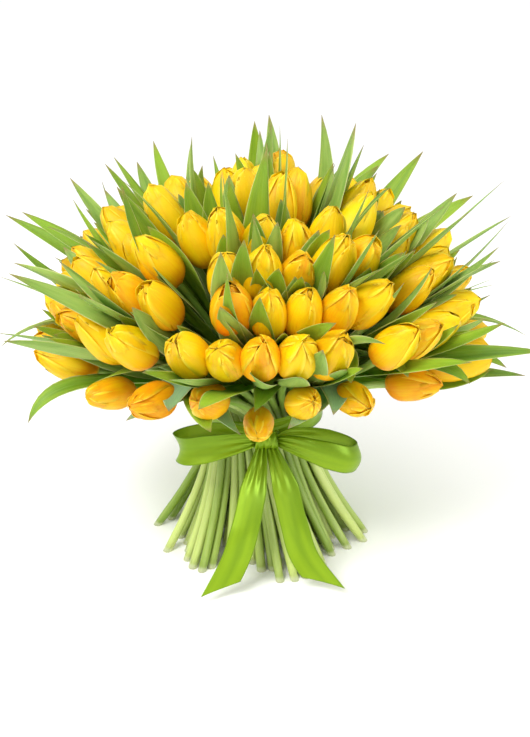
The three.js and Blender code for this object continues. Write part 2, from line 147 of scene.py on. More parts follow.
# ---------- petals ----------
# A tulip head is six waxy petals in two rings of three that cup round each other, yellow with an orange
# flush at the base, each a thin blade fixed at its foot to the top of the stem. The flush is partly the
# petals' own colour and partly painted shade.
class Wire:
    """A socket in a material, which Python's operators join to others by Math nodes."""

    def __init__(self, finish, socket):
        self.finish, self.socket = finish, socket

    def math(self, operation, *values):
        return self.finish.add("ShaderNodeMath", {"operation": operation}, dict(enumerate(values)))

    def __add__(self, other):
        return self.math("ADD", self, other)

    def __sub__(self, other):
        return self.math("SUBTRACT", self, other)

    def __rsub__(self, other):
        return self.math("SUBTRACT", other, self)

    def __mul__(self, other):
        return self.math("MULTIPLY", self, other)

    def __truediv__(self, other):
        return self.math("DIVIDE", self, other)

    __radd__ = __add__
    __rmul__ = __mul__

    def step(self, low, high):
        """0 below low and 1 above high, with a smooth rise between; low may be the greater."""
        settings = {"interpolation_type": "SMOOTHSTEP", "clamp": True}
        return self.finish.add("ShaderNodeMapRange", settings, {0: self, 1: low, 2: high, 3: 0.0, 4: 1.0})


class Finish:
    """A material under construction, its Principled shader, and the wires into it."""

    def __init__(self, name, **fixed):
        self.material = bpy.data.materials.new(name)
        self.material.use_nodes = True
        self.tree = self.material.node_tree
        self.shader = self.tree.nodes["Principled BSDF"]
        for socket, value in fixed.items():
            self.shader.inputs[socket.replace("_", " ")].default_value = value

    def add(self, kind, settings=None, inputs=None, out=0):
        node = self.tree.nodes.new(kind)
        for key, value in (settings or {}).items():
            setattr(node, key, value)
        for key, value in (inputs or {}).items():
            self.join(value, node.inputs[key])
        return Wire(self, node.outputs[out])

    def join(self, value, socket):
        if isinstance(value, Wire):
            self.tree.links.new(value.socket, socket)
        else:
            socket.default_value = value

    def attribute(self, name):
        return self.add("ShaderNodeAttribute", {"attribute_name": name}, out="Fac")

    def along(self, scale, detail=2.0, rough=0.5, distort=0.0):
        """Noise over the UV map, drawn out by the scale of each direction and shifted by luck."""
        uv = self.add("ShaderNodeUVMap", {"uv_map": "UVMap"})
        spread = self.add("ShaderNodeVectorMath", {"operation": "MULTIPLY"}, {0: uv, 1: scale})
        apart = self.add("ShaderNodeCombineXYZ", None, {0: 0.0, 1: 0.0, 2: self.attribute("luck") * 37.0})
        placed = self.add("ShaderNodeVectorMath", {"operation": "ADD"}, {0: spread, 1: apart})
        inputs = {"Vector": placed, "Scale": 1.0, "Detail": detail, "Roughness": rough}
        return self.add("ShaderNodeTexNoise", None, inputs | {"Distortion": distort})

    def uv(self):
        """The two parts of the UV map as wires: across, along."""
        uv = self.add("ShaderNodeUVMap", {"uv_map": "UVMap"})
        return (self.add("ShaderNodeSeparateXYZ", None, {0: uv}, out=k) for k in (0, 1))

    def noise(self, scale, detail=2.0, rough=0.5):
        place = self.add("ShaderNodeTexCoord", out="Object")
        inputs = {"Vector": place, "Scale": scale, "Detail": detail, "Roughness": rough}
        return self.add("ShaderNodeTexNoise", None, inputs)

    def mix(self, share, first, second):
        """The first colour where share is 0 and the second where it is 1."""
        settings = {"data_type": "RGBA", "clamp_factor": True}
        colours = [value if isinstance(value, Wire) else (*value, 1.0) for value in (first, second)]
        return self.add("ShaderNodeMix", settings, {0: share, 6: colours[0], 7: colours[1]}, out=2)

    def set(self, **values):
        for socket, value in values.items():
            self.join(value, self.shader.inputs[socket.replace("_", " ")])

    def from_middle(self, share):
        """0 where share is a half, and 1 where it is 0 or 1."""
        return self.add("ShaderNodeMath", {"operation": "ABSOLUTE"}, {0: share - 0.5}) * 2.0

    def bump(self, height, distance, strength=1.0):
        inputs = {"Height": height, "Distance": distance, "Strength": strength}
        self.set(Normal=self.add("ShaderNodeBump", None, inputs))


def grid_faces(rows, columns, start=0, round_it=False):
    """Quads between the points of a grid; round_it joins its last column to its first."""
    last = columns if round_it else columns - 1
    r, c = np.meshgrid(np.arange(rows - 1), np.arange(last), indexing="ij")
    d = (c + 1) % columns
    quads = np.stack([r * columns + c, r * columns + d, (r + 1) * columns + d, (r + 1) * columns + c], -1)
    return start + quads.reshape(-1, 4)


def blade_faces(rows, columns):
    """Quads of a thin closed blade: an outer grid, an inner grid that faces back, and the rim between."""
    inner = rows * columns
    grid = np.arange(inner).reshape(rows, columns)
    rim = np.concatenate([grid[0, :-1], grid[:-1, -1], grid[-1, :0:-1], grid[:0:-1, 0]])
    following = np.roll(rim, -1)
    edge = np.stack([following, rim, rim + inner, following + inner], -1)
    return np.concatenate([grid_faces(rows, columns), grid_faces(rows, columns, inner)[:, ::-1], edge])


def repeated(faces, size, copies):
    """The same faces for each copy, whose points follow each other in steps of size."""
    return (faces[None] + size * np.arange(copies)[:, None, None]).reshape(-1, faces.shape[1])


def make_piece(name, points, faces, finish, uv=None, values=None):
    """A piece at the origin from arrays of points and quads; a solid that is inside out is turned."""
    points, faces = points.reshape(-1, 3), faces.reshape(-1, 4)
    a, b, c, d = (points[faces[:, k]] for k in range(4))
    volume = (a * np.cross(b, c)).sum() + (a * np.cross(c, d)).sum()
    if volume < 0:
        faces = faces[:, ::-1]
    mesh = bpy.data.meshes.new(name)
    mesh.vertices.add(len(points))
    mesh.vertices.foreach_set("co", points.ravel())
    mesh.loops.add(faces.size)
    mesh.loops.foreach_set("vertex_index", faces.ravel())
    mesh.polygons.add(len(faces))
    mesh.polygons.foreach_set("loop_start", np.arange(0, faces.size, 4))
    mesh.polygons.foreach_set("use_smooth", np.ones(len(faces), bool))
    if uv is not None:
        mesh.uv_layers.new(name="UVMap").data.foreach_set("uv", uv.reshape(-1, 2)[faces.ravel()].ravel())
    for key, value in (values or {}).items():
        mesh.attributes.new(key, "FLOAT", "POINT").data.foreach_set("value", value.ravel())
    mesh.update(calc_edges=True)
    mesh.validate()
    mesh.materials.append(finish.material)
    piece = bpy.data.objects.new(name, mesh)
    bpy.context.collection.objects.link(piece)
    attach(piece, "root")
    return piece


petal_rows, petal_columns = 15, 9
petal_thickness = 0.7 * MM
foot_radius = 4.5 * MM
belly_height = 0.42


def petal_points(v, u, radius, length, half_width, close, lean, curl, ripple, phase, thickness):
    """A petal about +Z with its midrib over +X. v runs from foot to tip and u from edge to edge, -1 to 1.

    The midrib leaves the foot nearly level, swells to radius at the belly and closes towards the tip. The
    cross-section is an arc that tightens as the head narrows, and its half-width runs out to a point.
    """
    rise = np.sin(np.pi / 2 * np.clip(v / belly_height, 0, 1)) ** 0.8
    past = np.clip((v - belly_height) / (1 - belly_height), 0, 1)
    closing = close * radius * (0.3 * past**1.6 + 0.7 * past**2.8)
    height = length * (v ** (1.0 + 0.25 * (1 - v)))
    midrib = foot_radius + (radius - foot_radius) * rise - closing + lean * height + curl * past**5
    rising = 0.3 + 0.7 * np.sin(np.pi * np.minimum(v, 0.5)) ** 0.9
    outline = rising * (1 - np.clip(2 * v - 1, 0, 1) ** 2.6) ** 0.66
    bow = 0.42 * radius + 0.56 * np.maximum(midrib, 0.1 * radius)
    swing = half_width * outline * u / bow
    offset = -thickness * (1 - 0.8 * u**4) * (1 - 0.7 * v**6)
    wave = ripple * u**2 * v * np.sin(7 * v + 4 * u + phase)
    keel = 0.5 * MM * np.exp(-((u / 0.16) ** 2)) * np.sin(np.pi * v)
    out = midrib - bow * (1 - np.cos(swing)) + (offset + wave - keel) * np.cos(swing)
    across = bow * np.sin(swing) + (offset + wave - keel) * np.sin(swing)
    return np.broadcast_arrays(out, across, height - 1.2 * MM * u**2 * np.sin(np.pi * v))


v, u = np.meshgrid(np.linspace(0, 1, petal_rows), np.linspace(-1, 1, petal_columns), indexing="ij")
shape, head_shape = (count, 6, 1, 1, 1), (count, 1, 1, 1, 1)
inner_petal = np.tile([0, 1], 3)[None, :, None, None, None]
openness = chance.beta(0.9, 3.0, head_shape) * (1 - inner_petal)
low_down = np.char.startswith(head_nodes, "head_low").reshape(head_shape)
head_size = chance.uniform(0.95, 1.08, head_shape) * np.where(low_down, 0.9, 1.0)
head_size[head_nodes == "head_low_4"] = 0.8  # the small one that hangs over the bow
layer = np.array([0.0, 1.0])[None, None, :, None, None]
out, across, height = petal_points(
    v[None, None, None],
    u[None, None, None],
    radius=(0.5 * head_width - 0.8 * MM - 1.7 * MM * inner_petal) * head_size,
    length=(head_length + 1.5 * MM * inner_petal) * head_size * chance.uniform(0.96, 1.03, shape),
    half_width=21.0 * MM * head_size * chance.uniform(0.94, 1.05, shape),
    close=0.98 - 0.36 * openness + chance.normal(0, 0.02, shape) + 0.03 * inner_petal,
    lean=0.025 * openness + chance.normal(0, 0.008, shape),
    curl=chance.normal(0.2, 0.8, shape) * MM,
    ripple=chance.uniform(0.2, 1.0, shape) * MM,
    phase=chance.uniform(0, 6.3, shape),
    thickness=petal_thickness * layer,
)
spin = np.radians(60 * np.arange(6))[None, :] + chance.uniform(0, 2 * np.pi / 3, (count, 1))
spin = (spin + chance.normal(0, 0.05, (count, 6)))[:, :, None, None, None]
east = out * np.cos(spin) - across * np.sin(spin)
local = np.stack([east, out * np.sin(spin) + across * np.cos(spin), height], -1)

# Each head nods a little its own way on its stem, and those at the front lift towards the light.
front_lift, nod_spread = 0.26, 0.075
to_front = np.clip(-np.sin(np.radians(azimuth)), 0, 1) * (polar > 40)
lifted = front_lift * to_front * (polar < 64)
nod = unit(axis + chance.normal(0, nod_spread, (count, 3)) + lifted[:, None] * [0.0, 0.0, 1.0])
base = centre - nod * head_length / 2
level = np.where(np.abs(nod[:, 2:]) > 0.98, [[0.0, 1.0, 0.0]], [[0.0, 0.0, 1.0]])
side = unit(np.cross(level, nod))
third = np.cross(nod, side)
turned = np.einsum("nprvuk,nkj->nprvuj", local, np.stack([side, third, nod], 1))
petals = turned + base[:, None, None, None, None, :]

petal_finish = Finish(
    "waxy yellow petal",
    Specular_IOR_Level=0.22,
    Subsurface_Weight=0.3,
    Subsurface_Scale=0.01,
    Subsurface_Radius=(1.0, 0.55, 0.08),
)
across_petal, up_petal = petal_finish.uv()
luck = petal_finish.attribute("luck")
flush_and_shade_share = petal_finish.attribute("flush_and_shade_share")
from_midrib = petal_finish.from_middle(across_petal)
veins = petal_finish.along((46.0, 1.6, 0.0), 3.0, 0.62, 0.4)
clouds = petal_finish.along((3.0, 3.5, 0.0), 2.0)
# The orange flush rises towards the foot and with each head's share; it is partly the petals' own colour and
# partly painted shade.
flush_and_shade = up_petal.step(0.55, 0.02) * 0.8 + flush_and_shade_share * 0.75 - 0.2
flush_and_shade = flush_and_shade + (veins - 0.5) * 0.9 + (clouds - 0.5) * 0.7
flush_and_shade = flush_and_shade - from_midrib.step(0.7, 1.0) * 0.35
yellow = petal_finish.mix(luck, (0.93, 0.63, 0.002), (0.91, 0.50, 0.002))
pale_edge = from_midrib.step(0.8, 1.0) * up_petal.step(0.3, 0.8) * 0.6
paler = petal_finish.mix(pale_edge, yellow, (0.99, 0.84, 0.06))
orange = petal_finish.mix(flush_and_shade.step(-0.1, 0.95), paler, (0.88, 0.28, 0.002))
foot = petal_finish.mix(up_petal.step(0.1, 0.0) * 0.7, orange, (0.42, 0.46, 0.03))
petal_finish.set(Base_Color=foot, Roughness=0.36 + veins * 0.16)
petal_finish.bump(veins * 0.6 + from_midrib.step(0.1, 0.0) * -0.5, 0.0004, 0.7)

petal_uv = np.broadcast_to(np.stack([u / 2 + 0.5, v], -1), petals.shape[:-1] + (2,))
petal_luck = np.broadcast_to(chance.uniform(0, 1, shape), petals.shape[:-1])
# Each head's share of the orange flush, partly painted shade: more on the inner petals, on the low heads
# that face down and on the heads at the front.
head_flush_and_shade = chance.beta(1.2, 2.6, head_shape) + 0.12 * inner_petal + 0.3 * low_down
head_flush_and_shade = head_flush_and_shade + 0.3 * to_front.reshape(head_shape)
head_flush_and_shade = np.broadcast_to(head_flush_and_shade, petals.shape[:-1])
petal_quads = blade_faces(petal_rows, petal_columns)
petal_size = 2 * petal_rows * petal_columns
for node in dict.fromkeys(head_nodes):
    mine = head_nodes == node
    faces = repeated(petal_quads, petal_size, 6 * mine.sum())
    values = {"luck": petal_luck[mine], "flush_and_shade_share": head_flush_and_shade[mine]}
    flowers = make_piece("tulip_" + node, petals[mine], faces, petal_finish, petal_uv[mine], values)
    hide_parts(node)


# ---------- stems ----------
# Smooth round pale green stems about as thick as a pencil. Each runs from its head through the tie in a slow
# spiral, and out to a ring of feet that are cut off level.
def bezier(controls, t):
    """A Bezier curve of three or four controls at the parameters t, and its direction there."""
    t = t[..., None]
    s = 1 - t
    if len(controls) == 3:
        a, b, c = controls
        return s * s * a + 2 * s * t * b + t * t * c, 2 * s * (b - a) + 2 * t * (c - b)
    a, b, c, d = controls
    place = s**3 * a + 3 * s * s * t * b + 3 * s * t * t * c + t**3 * d
    return place, 3 * s * s * (b - a) + 6 * s * t * (c - b) + 3 * t * t * (d - c)


def about_axis(radial, tangential, height, azimuth):
    """Points at a radial and a tangential distance from the +Z axis, seen from an azimuth in degrees."""
    a = np.radians(azimuth)
    x = radial * np.cos(a) - tangential * np.sin(a)
    return np.stack(np.broadcast_arrays(x, radial * np.sin(a) + tangential * np.cos(a), height), -1)


spiral_below = 20
foot_ring = 1 + 57 * MM / rings[-1]
foot_scatter, bend_rise = 3.8 * MM, 14 * MM


def above_controls(ring, at_neck, end, axis, bend):
    """Controls of a stem's line above the neck: it leaves the tie leaning and meets the head on its axis."""
    start = about_axis(ring, 0, neck[2], at_neck)
    lean = ring * np.radians(spiral_below) / (neck[2] / 3)
    handle = (np.linalg.norm(end - start, axis=-1) * bend)[:, None]
    leaving = start + handle * unit(about_axis(0, -lean, 1.0, at_neck))
    return start, leaving, end - axis * handle, end


stem_rows_below, stem_rows_above, stem_sides = 12, 16, 10
foot_spot = about_axis(ring * foot_ring, 0, 0.0, at_neck + spiral_below)
foot_spot = foot_spot + chance.normal(0, foot_scatter, (count, 3)) * (1.0, 1.0, 0.0)
bend_spot = about_axis(ring, ring * np.radians(spiral_below) / 2, neck[2] / 2 + bend_rise, at_neck)
neck_spot = about_axis(ring, 0, neck[2], at_neck)
t = np.broadcast_to(np.linspace(0, 1, stem_rows_below, endpoint=False), (count, stem_rows_below))
lower, lower_ahead = bezier([spot[:, None] for spot in (foot_spot, bend_spot, neck_spot)], t)
t = np.broadcast_to(np.linspace(0, 1, stem_rows_above), (count, stem_rows_above))
stem_end = base + nod * 1.5 * MM
controls = above_controls(ring, at_neck, stem_end, nod, bend)
upper, upper_ahead = bezier([spot[:, None] for spot in controls], t)
line = np.concatenate([lower, upper], 1)
ahead = unit(np.concatenate([lower_ahead, upper_ahead], 1))
ahead[:, 0] = (0, 0, 1)


def tube(line, ahead, radius, sides):
    """A round tube along each line: rings of points about it, and a shrunken ring that closes each end."""
    around = np.linspace(0, 2 * np.pi, sides, endpoint=False)
    level = np.zeros_like(line)
    level[..., 0], level[..., 1] = -line[..., 1] - 1e-6, line[..., 0]
    side = unit(level - ahead * (level * ahead).sum(-1, keepdims=True))
    third = np.cross(ahead, side)
    line, side, third = (
        np.concatenate([w[:, :1], w, w[:, -1:]], 1)[..., None, :] for w in (line, side, third)
    )
    radius = np.concatenate([radius[:, :1] * 0.02, radius, radius[:, -1:] * 0.02], 1)[..., None, None]
    return line + radius * (np.cos(around)[:, None] * side + np.sin(around)[:, None] * third)


def tube_faces(rows, sides):
    """Quads of a closed tube of so many rings, each end of it filled by a row of thin quads."""
    fan = np.arange(sides // 2 - 1)
    low = np.stack([fan, sides - 1 - fan, sides - 2 - fan, fan + 1], -1)
    return np.concatenate([grid_faces(rows, sides, 0, True), low, (rows - 1) * sides + low[:, ::-1]])


rows = line.shape[1]
share = np.concatenate([np.linspace(0, 0.35, stem_rows_below), np.linspace(0.36, 1, stem_rows_above)])
swell = 1.24 - 0.2 * np.clip(share / 0.3, 0, 1) - 0.08 * share
thick = stem_radius * swell * chance.uniform(0.92, 1.08, (count, 1))
thick = thick * (1 + 0.22 * np.exp(-(((share - 1) / 0.03) ** 2)))
stem_points = tube(line, ahead, thick, stem_sides)
ring_rows = rows + 2
along = np.concatenate([[0], share, [1]])
stem_finish = Finish(
    "pale green stem",
    Subsurface_Weight=0.12,
    Subsurface_Scale=0.004,
    Subsurface_Radius=(0.7, 1.0, 0.3),
)
_, up_stem = stem_finish.uv()
luck = stem_finish.attribute("luck")
fibres = stem_finish.along((26.0, 2.2, 0.0), 3.0, 0.6)
patches = stem_finish.along((1.5, 4.0, 0.0), 3.0, 0.6)
green = stem_finish.mix(luck, (0.21, 0.33, 0.03), (0.54, 0.64, 0.18))
leafy = stem_finish.mix(up_stem.step(0.2, 0.95), green, (0.20, 0.36, 0.045))
blotched = stem_finish.mix(patches.step(0.42, 0.75) * 0.5, leafy, (0.66, 0.74, 0.29))
lined = stem_finish.mix(fibres.step(0.45, 0.8) * 0.3, blotched, (0.18, 0.27, 0.04))
cut_end = stem_finish.mix(up_stem.step(0.012, 0.004) * 0.8, lined, (0.70, 0.74, 0.46))
stem_finish.set(Base_Color=cut_end, Roughness=0.3 + fibres * 0.2)
stem_finish.bump(fibres + patches * 0.6, 0.0003, 0.6)
turn = np.linspace(0, 1, stem_sides, endpoint=False)
stem_uv = np.stack(np.broadcast_arrays(turn, along[:, None]), -1)
stem_uv = np.broadcast_to(stem_uv, stem_points.shape[:-1] + (2,))
stem_luck = np.broadcast_to(chance.uniform(0, 1, (count, 1, 1)), stem_points.shape[:-1])
stem_quads = tube_faces(ring_rows, stem_sides)
for node in dict.fromkeys(stem_nodes):
    mine = stem_nodes == node
    faces = repeated(stem_quads, ring_rows * stem_sides, mine.sum())
    values = {"luck": stem_luck[mine]}
    stems = make_piece("green_" + node, stem_points[mine], faces, stem_finish, stem_uv[mine], values)
    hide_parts(node, "stems_below")


# ---------- leaves ----------
# Long channelled blades, fresh green inside and blue-green on the back, with close parallel veins and a pale
# rim that is a painted highlight. Each clasps its stem low down, runs up between the heads and ends in a
# point that often bends out.
leaf_rows, leaf_columns = 19, 7
leaf_thickness = 0.8 * MM
taper_start = 0.45


def blade_points(controls, hint, width, channel, ripple, roll, phase):
    """Leaf blades on Bezier midribs: thin closed sheets, arced across, rippled at the edge and rolled.

    The half-width rises from a third at the foot to full before the middle and runs out to a point; hint is
    the way that the inner face looks, channel the share of the half-width that the edges stand above it.
    """
    v, u = np.meshgrid(np.linspace(0, 1, leaf_rows), np.linspace(-1, 1, leaf_columns), indexing="ij")
    t = np.broadcast_to(np.linspace(0, 1, leaf_rows), (len(width), leaf_rows))
    midrib, ahead = bezier([spot[:, None] for spot in controls], t)
    ahead = unit(ahead)
    side = unit(np.cross(ahead, hint[:, None]))
    face = np.cross(side, ahead)
    angle = (roll[:, None] * np.linspace(0, 1, leaf_rows) ** 1.5)[..., None]
    side, face = side * np.cos(angle) + face * np.sin(angle), face * np.cos(angle) - side * np.sin(angle)
    widening = 0.3 + 0.7 * np.sin(np.pi / 2 * np.clip(1.6 * v, 0, 1))
    tapering = (1 - np.clip((v - taper_start) / (1 - taper_start), 0, 1) ** 2.1) ** 0.9
    outline = np.maximum(widening * tapering, 0.012)
    half = width[:, None, None] / 2 * outline
    lift = channel[:, None, None] * half * u**2 * (1 - 0.5 * v)
    wave = np.sin(9 * v + 2.4 * u + phase[:, None, None]) * np.sin(np.pi * v)
    wave = ripple[:, None, None] * np.abs(u) ** 1.5 * wave
    keel = 0.5 * MM * np.exp(-((u / 0.12) ** 2)) * (1 - v)
    thickness = leaf_thickness * (1 - 0.85 * u**4) * (1 - 0.8 * v**8)
    both = np.array([0.5, -0.5])[None, :, None, None] * thickness
    depth = ((lift + wave - keel)[:, None] + both)[..., None]
    spread = (half * u)[:, None, ..., None]
    midrib, side, face = (w[:, None, :, None] for w in (midrib, side, face))
    return midrib + spread * side + depth * face


leaf_finish = Finish(
    "tulip leaf",
    Specular_IOR_Level=0.35,
    Subsurface_Weight=0.1,
    Subsurface_Scale=0.004,
    Subsurface_Radius=(0.5, 1.0, 0.1),
)
across_leaf, up_leaf = leaf_finish.uv()
luck, back = leaf_finish.attribute("luck"), leaf_finish.attribute("back")
from_midrib = leaf_finish.from_middle(across_leaf)
ribs = leaf_finish.add("ShaderNodeMath", {"operation": "SINE"}, {0: across_leaf * 150.0}) * 0.5 + 0.5
grain = leaf_finish.along((40.0, 2.4, 0.0), 3.0, 0.6, 0.3)
clouds = leaf_finish.along((2.0, 3.0, 0.0), 3.0, 0.6)
fresh = leaf_finish.mix(luck, (0.085, 0.19, 0.004), (0.24, 0.41, 0.012))
fresh = leaf_finish.mix(clouds.step(0.35, 0.75) * 0.5, fresh, (0.32, 0.46, 0.02))
bloom = leaf_finish.mix(clouds.step(0.3, 0.7), (0.13, 0.26, 0.03), (0.28, 0.42, 0.08))
both_sides = leaf_finish.mix(back, fresh, bloom)
both_sides = leaf_finish.mix(luck.step(1.05, 1.15), both_sides, (0.21, 0.36, 0.19))
veined = leaf_finish.mix(ribs * grain.step(0.3, 0.8) * 0.55, both_sides, (0.40, 0.56, 0.16))
# A pale band along each edge of the blade: a painted highlight.
with_painted_rim_highlight = leaf_finish.mix(from_midrib.step(0.9, 0.99) * 0.75, veined, (0.62, 0.66, 0.30))
tipped = leaf_finish.mix(up_leaf.step(0.93, 1.0) * 0.7, with_painted_rim_highlight, (0.24, 0.10, 0.05))
leaf_finish.set(Base_Color=tipped, Roughness=0.34 + grain * 0.22)
leaf_finish.bump(ribs * 0.5 + grain, 0.0003, 0.7)
leaf_quads = blade_faces(leaf_rows, leaf_columns)


def make_leaves(name, points, luck):
    """One piece of leaf blades from their points."""
    v, u = np.meshgrid(np.linspace(0, 1, leaf_rows), np.linspace(0, 1, leaf_columns), indexing="ij")
    uv = np.broadcast_to(np.stack([u, v], -1), points.shape[:-1] + (2,))
    back = np.broadcast_to(np.array([0.0, 1.0])[None, :, None, None], points.shape[:-1])
    luck = np.broadcast_to(luck[:, None, None, None], points.shape[:-1])
    faces = repeated(leaf_quads, 2 * leaf_rows * leaf_columns, len(points))
    leaves = make_piece(name, points, faces, leaf_finish, uv, {"luck": luck, "back": back})
    return leaves


# The long leaves that stand out of the dome, each in the gap before an arc of its tier: tier, arc, azimuth
# and polar angle of the tip, how far that stands beyond the heads, and width.
standing_leaves = (
    (0, 0, -153, 29, 33, 20),
    (0, 1, -33, 29, 31, 24),
    (0, 2, 95, 16, 37, 24),
    (1, 1, -24, 38, 39, 28),
    (1, 2, 40, 36, 43, 30),
    (1, 3, 150, 36, 45, 30),
    (2, 0, 174, 50, 57, 32),
    (2, 3, 18, 48, 53, 32),
    (2, 4, 104, 50, 41, 30),
    (3, 0, 180, 76, 20, 30),
    (3, 3, -2, 73, 25, 27),
    (3, 4, 61, 66, 27, 25),
    (3, 5, 122, 66, 27, 28),
    (4, 2, 92, 76, 13, 25),
    (4, 4, -157, 84, -11, 24),
)
leaf_foot, leaf_knee, above_dome = 62 * MM, 150 * MM, 8 * MM
drawn_width = 1.15  # a blade is this much wider than its plain solid in the frame
for n, (tier, arc, tip_azimuth, tip_polar, beyond, width) in enumerate(standing_leaves):
    _, polar_here, arcs, _, sector, middle, _, _ = tiers[tier]
    gap = middle + sector * (arc / arcs - 0.5)
    turn = (tip_azimuth - gap + 180) % 360 - 180
    tip = neck + (dome + head_length / 2 + beyond * MM) * direction(tip_azimuth, tip_polar)
    start = neck + leaf_foot * direction(gap + 14, polar_here * 0.7)
    knee = neck + leaf_knee * direction(gap, polar_here)
    elbow = neck + (dome + above_dome) * direction(gap + 0.3 * turn, polar_here)
    controls = [np.array([spot]) for spot in (start, knee, elbow, tip)]
    way = direction(gap, polar_here)
    hint = unit(np.cross(np.cross(way, [0, 0, 1]), way))[None]
    # Width, channel, ripple, roll and phase.
    blade = np.array([[width * drawn_width * MM, 0.5, 1.2 * MM, 0.3 * (-1) ** n, n * 1.7]]).T
    points = blade_points(controls, hint, *blade)
    leaf = make_leaves(f"standing_leaf_{n + 1}", points, chance.uniform(0, 1, 1))
    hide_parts(f"leaf_{n + 1}")

# A few wide leaves lie low round the front, above the bow: azimuth, polar angle and reach of the tip, width,
# swing of the foot to the side, and luck, which over 1 gives the leaf a blue-green bloom.
low_leaves = (
    (-138, 67, 214, 27, 14, 0.4),
    (-128, 74, 200, 30, 16, 1.2),
    (-116, 69, 194, 38, -14, 1.2),
    (-104, 73, 186, 36, -26, 0.8),
    (-96, 74, 172, 40, -46, 1.2),
    (-92, 67, 176, 34, 18, 0.7),
    (-82, 72, 176, 38, 42, 1.2),
    (-70, 69, 194, 36, 26, 1.2),
    (-66, 62, 212, 34, 20, 0.8),
    (-49, 64, 216, 34, 16, 0.8),
    (-29, 72, 228, 30, 14, 0.6),
    (-10, 76, 248, 26, 10, 0.3),
)
low_foot, low_foot_polar, low_knee = 52 * MM, 34, 120 * MM
low_azimuth, low_polar, low_reach, low_width, swing, luck = np.array(low_leaves, float).T
way = direction(low_azimuth, low_polar)
tip = neck + low_reach[:, None] * MM * way
start = neck + low_foot * direction(low_azimuth + swing, low_foot_polar + 0 * low_polar)
knee = neck + low_knee * direction(low_azimuth + 0.8 * swing, low_polar - 22)
elbow = neck + (low_reach * 0.88)[:, None] * MM * direction(low_azimuth + 0.45 * swing, low_polar - 8)
roll = 0.5 * scatter(np.arange(len(luck)))
blade = (low_width * MM, 0 * luck + 0.35, 0 * luck + 2.4 * MM, roll, 2.1 * np.arange(len(luck)))
level = unit(np.array([[0.0, 0.0, 1.0]]) - way * way[:, 2:])
make_leaves("low_leaves", blade_points([start, knee, elbow, tip], level, *blade), luck)

# Each tulip brings two or three leaves of its own, which rise beside its head and end a little past it.
beside_stem, beside_head = 18 * MM, 22 * MM
below_head, in_head, free_of_heads = 80 * MM, 4 * MM, 34 * MM
third_leaf_share, long_leaf_share, tip_stray = 0.4, 0.3, 0.27
leaf_box = [-0.262, -0.23, 0.12], [0.262, 0.27, 0.425]  # no tip stands outside it
leaves_each = 2 + (chance.random(count) < third_leaf_share)
leaves_each[np.char.startswith(head_nodes, "head_low")] = 0
host = np.repeat(np.arange(count), leaves_each)
many = len(host)
way = direction(azimuth[host], polar[host])
east = unit(np.cross([[0.0, 0.0, 1.0]], way + [[1e-4, 0, 0]]))
north = np.cross(way, east)
around = np.pi / 2 * chance.choice([-1.0, 1.0], many) + chance.normal(0, 0.35, many)
off = np.cos(around)[:, None] * east + np.sin(around)[:, None] * north
long_leaf = chance.random(many) < long_leaf_share
past_head = np.where(long_leaf, chance.uniform(48, 84, many), chance.uniform(14, 50, many)) * MM
foot_reach = (chance.uniform(60, 90, many) * MM)[:, None]
start = neck + foot_reach * direction(azimuth[host] + 12, polar[host] * 0.8)
knee = neck + (reach[host] - below_head)[:, None] * way + beside_stem * off
elbow = neck + (reach[host] - in_head)[:, None] * way + beside_head * off
bent_out = chance.uniform(14, 24, many) * MM
bent_out = bent_out + chance.uniform(0.2, 0.9, many) * np.maximum(past_head - free_of_heads, 0)
tip = neck + (reach[host] + past_head)[:, None] * way + bent_out[:, None] * off
tip = tip + chance.normal(0, 1, (many, 3)) * (past_head[:, None] - 10 * MM) * tip_stray
tip = np.clip(tip, *leaf_box)
width = chance.uniform(20, 33, many) * MM
points = blade_points(
    [start, knee, elbow, tip],
    hint=-off,
    width=width,
    channel=chance.uniform(0.2, 0.6, many),
    ripple=chance.uniform(0.4, 2.0, many) * MM,
    roll=chance.normal(0, 0.6, many),
    phase=chance.uniform(0, 6.3, many),
)
luck = chance.uniform(0, 1, many)

# They make one piece for each eighth of the round, those of the upper and of the lower tiers apart.
sectors = ((azimuth[host] + 180) % 360 // 45).astype(int) * 2 + (polar[host] > 48)
for sector in np.unique(sectors):
    mine = sectors == sector
    make_leaves(f"filling_leaves_{sector + 1}", points[mine], luck[mine])


# ---------- tie and ribbon ----------
# A turn of green twine holds the stems. Over it a lime satin ribbon is wound round the neck, drawn into a
# soft knot at the front and tied in a bow of two loops, with two tails that hang down over the stems.
tie_finish = Finish("green twine", Roughness=0.8)
ply = tie_finish.noise(900.0, 2.0)
tie_finish.set(Base_Color=tie_finish.mix(ply, (0.05, 0.09, 0.02), (0.14, 0.2, 0.05)))
tie_finish.bump(ply, 0.0004)
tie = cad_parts["tie"]
tie.data.materials.clear()
tie.data.materials.append(tie_finish.material)

ribbon_width, ribbon_thickness = 26 * MM, 0.5 * MM
satin = Finish("lime satin ribbon", Metallic=0.35, Specular_IOR_Level=0.3)
across_ribbon, along_ribbon = satin.uv()
weft = satin.add("ShaderNodeMath", {"operation": "SINE"}, {0: along_ribbon * 9000.0}) * 0.5 + 0.5
slub = satin.along((30.0, 700.0, 0.0), 2.0)
crease_bumps_and_shade = satin.along((90.0, 9.0, 0.0), 2.0, 0.5, 0.3)
